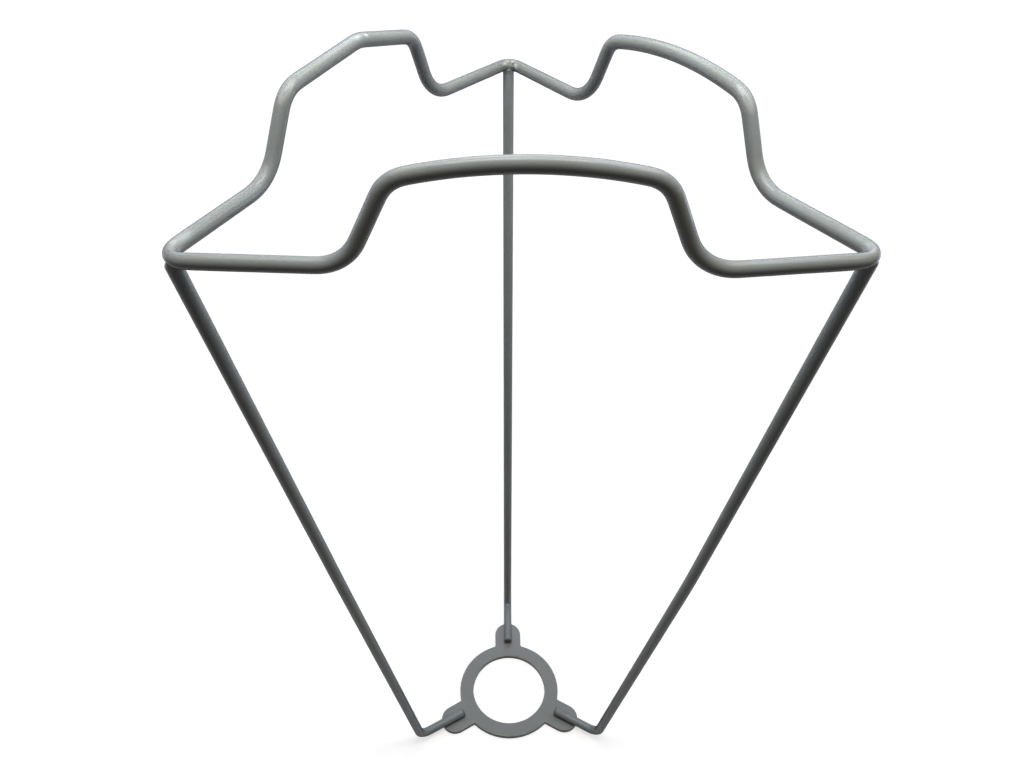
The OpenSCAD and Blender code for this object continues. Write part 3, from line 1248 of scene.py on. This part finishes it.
@dataclass
class Studio:
    """Camera, floor and plain soft light."""

    camera_mm: Triple = (-5.550, -158.491, 293.485)
    yaw: float = 0.842
    pitch: float = 40.331
    roll: float = 0.046
    picture: tuple[int, int] = (1024, 768)
    focal_px: float = 761.05
    centre_px: Pair = (501.28, 393.95)
    sensor_mm: float = 36.0
    clip: Pair = (0.005, 50.0)
    floor_size: float = 12.0
    floor_colour: str = "#e4ddd5"
    floor_bounce: str = "#2e2a25"
    floor_white: float = 1.015
    floor_shade: float = 0.36
    lamp_height: float = 0.55
    world_fill: str = "#a08c70"
    world_strength: float = 0.032
    lamps: tuple[Lamp, ...] = (
        Lamp("overhead_softbox", (0.0, -0.01, 0.72), (0.0, -0.01, 0.0), (0.24, 0.24), 0.70, "#e4efff"),
        Lamp("middle_softbox", (0.0, -0.02, 0.40), (0.0, 0.0, 0.1), (0.12, 0.08), 0.205, "#fefff7"),
        Lamp("right_near_fill", (0.055, -0.018, 0.305), (0.0, 0.0, 0.1), (0.05, 0.05),
             0.0404, "#eef3ff"),
        Lamp("left_near_fill", (-0.055, -0.018, 0.305), (0.0, 0.0, 0.1), (0.05, 0.05),
             0.0309, "#ecf4ff"),
        Lamp("back_near_fill", (0.0, 0.05, 0.31), (0.0, 0.0, 0.1), (0.05, 0.05), 0.0316, "#fdffed"),
        Lamp("left_side_fill", (-0.21, 0.04, 0.17), (0.05, -0.02, 0.1), (0.08, 0.12),
             0.067, "#d0deff"),
        Lamp("right_side_fill", (0.21, 0.05, 0.16), (-0.05, -0.02, 0.1), (0.08, 0.12),
             0.124, "#d3e2ff"),
        Lamp("right_middle_fill", (0.12, -0.06, 0.38), (0.0, 0.0, 0.2), (0.06, 0.06),
             0.045, "#ffe6b0"),
        Lamp("left_middle_fill", (-0.12, -0.06, 0.38), (0.0, 0.0, 0.2), (0.06, 0.06),
             0.030, "#ffe0a8"),
        Lamp("back_panel", (0.0, 0.62, 0.86), (0.0, 0.0, 0.2), (0.9, 0.14), 2.1, "#d8eaff"),
    )

    def camera(self) -> None:
        """Makes the camera as the photograph's outlines gave it."""
        yaw, pitch, roll = np.radians([self.yaw, self.pitch, self.roll])
        ahead = np.array([math.sin(yaw) * math.cos(pitch), math.cos(yaw) * math.cos(pitch),
                          -math.sin(pitch)])
        right = np.array([math.cos(yaw), -math.sin(yaw), 0.0])
        up = np.cross(right, ahead)
        right, up = (right * math.cos(roll) + up * math.sin(roll),
                     up * math.cos(roll) - right * math.sin(roll))
        data = bpy.data.cameras.new("photo_camera")
        data.sensor_width = self.sensor_mm
        data.lens = self.focal_px / self.picture[0] * self.sensor_mm
        data.shift_x = (self.picture[0] / 2 - self.centre_px[0]) / self.picture[0]
        data.shift_y = (self.centre_px[1] - self.picture[1] / 2) / self.picture[0]
        data.clip_start, data.clip_end = self.clip
        bpy.context.scene.camera = placed("photo_camera", data, [right, up, -ahead],
                                          np.array(self.camera_mm) * MM)

    @staticmethod
    def seen(tree: Tree) -> Socket:
        """Whether a ray is from the camera, or was mirrored or let through.

        Args:
            tree: The tree that asks.

        Returns:
            Socket that is 1 for such a ray and 0 for any other.
        """
        path = add_node(tree, "LightPath").outputs
        mirrored = calculated(tree, "MAXIMUM", path["Is Camera Ray"], path["Is Glossy Ray"])
        return calculated(tree, "MAXIMUM", mirrored, path["Is Transmission Ray"])

    def floor(self) -> None:
        """Makes the pale floor.

        It shows white with the carrier's shadow, and throws little light back at the
        carrier's underside, as the photograph's surface did. Its glow fills the lamp's
        light up to white, and that light falls off with the distance from the middle as
        (1 + distance squared / lamp height squared) to the power of -2.
        """
        half = self.floor_size / 2
        mesh = bpy.data.meshes.new("floor")
        mesh.from_pydata([(-half, -half, 0), (half, -half, 0), (half, half, 0),
                          (-half, half, 0)], [], [(0, 1, 2, 3)])
        floor = bpy.data.objects.new("floor", mesh)
        material, tree = new_material("matt_white_paper")
        seen = self.seen(tree)
        paper = mixed(tree, seen, linear(self.floor_bounce), linear(self.floor_colour))
        matt = add_node(tree, "BsdfDiffuse", {"Color": paper})
        place = add_node(tree, "TexCoord").outputs["Object"]
        far = add_node(tree, "VectorMath", {0: place, 1: place}, operation="DOT_PRODUCT")
        ratio = calculated(tree, "MULTIPLY_ADD", far.outputs["Value"], self.lamp_height ** -2, 1.0)
        lit = calculated(tree, "POWER", ratio, -2.0)
        lift = calculated(tree, "MULTIPLY_ADD", lit, -self.floor_shade, self.floor_white)
        glow = add_node(tree, "Emission", {
            "Color": linear(WHITE), "Strength": calculated(tree, "MULTIPLY", seen, lift)})
        both = add_node(tree, "AddShader", {
            0: matt.outputs["BSDF"], 1: glow.outputs["Emission"]})
        add_node(tree, "OutputMaterial", {"Surface": both.outputs["Shader"]})
        mesh.materials.append(material)
        bpy.context.scene.collection.objects.link(floor)

    def world(self) -> None:
        """Lights the carrier with a dim even fill, and shows white behind it."""
        world = bpy.data.worlds.new("studio")
        world.use_nodes = True
        tree = world.node_tree
        tree.nodes.clear()
        seen = self.seen(tree)
        glow = add_node(tree, "Background", {
            "Color": mixed(tree, seen, linear(self.world_fill), linear(WHITE)),
            "Strength": ranged(tree, seen, (0.0, 1.0), (self.world_strength, 1.0))})
        add_node(tree, "OutputWorld", {"Surface": glow.outputs["Background"]})
        bpy.context.scene.world = world

    def build(self) -> None:
        """Sets the whole studio up."""
        bpy.context.scene.view_settings.view_transform = "Standard"
        self.camera()
        self.floor()
        self.world()
        for lamp in self.lamps:
            lamp.build()


@dataclass
class ShadeCarrier:
    """The whole carrier."""

    ring: FitterRing = field(default_factory=FitterRing)
    top: TopWire = field(default_factory=TopWire)
    legs: tuple[Leg, ...] = (
        Leg(Corner.BACK, 0.5, 38.8, -0.2, 3.2, 74.1, 0.12, crease=0.1, seed=21),
        Leg(Corner.LEFT, 1.1, 39.5, -0.3, 4.6, 73.55, 0.1, bow=0.25, top_edge=1.0, seed=22),
        Leg(Corner.RIGHT, 0.9, 39.0, 0.0, 4.5, 74.05, -0.3, bow=1.3, top_edge=1.0, seed=23),
    )
    weld_reach: dict[Corner, float] = field(default_factory=lambda: {
        Corner.BACK: 0.35, Corner.LEFT: 0.12, Corner.RIGHT: 0.12})

    def build(self) -> None:
        """Makes the three finishes and every piece."""
        # On the ring the navy colour paints shade on the walls, and the olive pale colour paints
        # highlights on the upper edges.
        ring_coat = PowderCoat("satin_powder_coat_on_sheet", "#96958f", "#91918c",
                               grime_and_shade_colour="#303c5c", painted_highlight_colour="#b4b69a", peel_mm=1.1).build()
        wire_coat = PowderCoat("satin_powder_coat_on_wire", "#8e9291", "#8a8d89").build()
        weld_coat = PowderCoat("satin_powder_coat_on_weld", "#8c908f", "#80837e",
                               drift_mm=2.0, peel_mm=0.6, peel_depth_mm=0.02).build()
        self.ring.build(ring_coat)
        self.top.build(wire_coat)
        for leg in self.legs:
            leg.build(self.ring, self.top, wire_coat)
            CornerWeld(leg, self.weld_reach[leg.corner]).build(self.ring, self.top, weld_coat)
        FootWelds().build(self.ring, self.legs[0], weld_coat)


def main() -> None:
    logging.basicConfig(level=logging.INFO, format="%(name)s: %(message)s")
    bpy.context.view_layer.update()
    Studio().build()
    ShadeCarrier().build()


if __name__ == "__main__":
    main()
